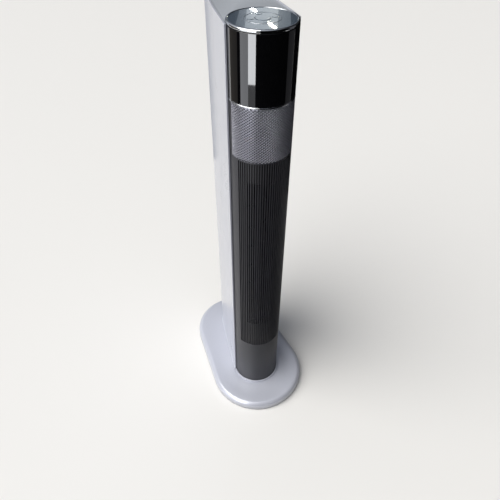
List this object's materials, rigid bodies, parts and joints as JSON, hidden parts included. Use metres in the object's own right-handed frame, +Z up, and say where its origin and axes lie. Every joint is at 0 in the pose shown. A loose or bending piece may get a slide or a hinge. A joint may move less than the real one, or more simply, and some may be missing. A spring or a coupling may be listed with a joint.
{
  "type": "tower fan",
  "caption": "Slim tower fan: a dark ribbed drum front and a silver housing that swing on a flat rounded base, with a round control top and a cross-flow blower inside.",
  "frame": {"origin": "middle of the base's footprint, on the floor", "axes": "+Z up, the base's front round faces -Y, +X to the right when looking along +Y"},
  "size_m": [0.1936, 0.309, 0.743],
  "materials": {
    "silver_abs": "satin-gloss silver paint on moulded ABS",
    "silver_panel": "fine satin silver",
    "dark_abs": "satin moulded ABS",
    "diamond_abs": "satin metallic grey",
    "gloss_cover": "piano black",
    "control_glass": "polished, grey metallic backing",
    "chrome_trim": "bright plated",
    "button_plastic": "polished",
    "black_abs": "moulded",
    "rubber": "moulded",
    "steel": "zinc plated",
    "acetal": "natural",
    "circuit_board": "solder mask",
    "copper_winding": "enamelled wire and laminations",
    "bronze": "sintered",
    "cable_jacket": "PVC"
  },
  "bodies": {
    "base": {"base_shell": "silver_abs", "base_plate": "black_abs", "ballast_plate": "steel", "rubber_feet": "rubber", "base_screws": "steel", "cord_gland": "rubber", "turntable_bush": "acetal", "swing_gear": "acetal", "gear_screws": "steel"},
    "tower": {"tower_floor": "dark_abs", "rear_housing": "silver_abs", "floor_screws": "steel", "rear_grille": "silver_abs", "housing_screws": "steel", "top_panel": "silver_panel", "front_cover": "dark_abs", "diamond_panel": "diamond_abs", "chrome_ring": "chrome_trim", "display_cover": "gloss_cover", "top_bezel": "chrome_trim", "control_disc": "control_glass", "control_tray": "black_abs", "control_board": "circuit_board", "display_board": "circuit_board", "power_board": "circuit_board", "board_screws": "steel", "swing_motor": "steel", "motor_ear_screws": "steel", "blower_floor": "black_abs", "blower_ceiling": "black_abs", "scroll_wall": "black_abs", "tongue_wall": "black_abs", "duct_frame": "black_abs", "outlet_grid": "dark_abs", "motor_case": "steel", "motor_stator": "copper_winding", "rubber_mounts": "rubber", "mount_screws": "steel", "bearing_holder": "rubber", "top_bearing": "bronze", "ribbon_cable": "cable_jacket"},
    "blower_wheel": {"impeller": "black_abs", "motor_shaft": "steel", "motor_rotor": "steel"},
    "pinion": {"swing_pinion": "acetal"},
    "power_key": {"power_button": "button_plastic"},
    "front_key": {"front_button": "button_plastic"},
    "right_key": {"right_button": "button_plastic"},
    "rear_key": {"rear_button": "button_plastic"},
    "left_key": {"left_button": "button_plastic"}
  },
  "joints": [
    {"name": "column_swing", "type": "hinge", "parent": "base", "child": "tower", "pos_m": [0, -0.052, 0.024], "axis": [0, 0, 1], "range_deg": [-28.5, 41.5]},
    {"name": "blower_spin", "type": "hinge", "parent": "tower", "child": "blower_wheel", "pos_m": [0.00679, 0.00761, 0.37], "axis": [0, 0, 1], "continuous": true},
    {"name": "pinion_spin", "type": "hinge", "parent": "tower", "child": "pinion", "pos_m": [0.00424, -0.01474, 0.03], "axis": [0, 0, 1], "range_deg": [-120, 170]},
    {"name": "power_press", "type": "slide", "parent": "tower", "child": "power_key", "axis": [0, 0, -1], "range_m": [0, 0.001], "stiffness_N_per_m": 400, "springref_m": -0.0005},
    {"name": "front_press", "type": "slide", "parent": "tower", "child": "front_key", "axis": [0, 0, -1], "range_m": [0, 0.001], "stiffness_N_per_m": 400, "springref_m": -0.0005},
    {"name": "right_press", "type": "slide", "parent": "tower", "child": "right_key", "axis": [0, 0, -1], "range_m": [0, 0.001], "stiffness_N_per_m": 400, "springref_m": -0.0005},
    {"name": "rear_press", "type": "slide", "parent": "tower", "child": "rear_key", "axis": [0, 0, -1], "range_m": [0, 0.001], "stiffness_N_per_m": 400, "springref_m": -0.0005},
    {"name": "left_press", "type": "slide", "parent": "tower", "child": "left_key", "axis": [0, 0, -1], "range_m": [0, 0.001], "stiffness_N_per_m": 400, "springref_m": -0.0005}
  ],
  "couplings": [
    {"joint": "pinion_spin", "follows": "column_swing", "ratio": 4}
  ]
}
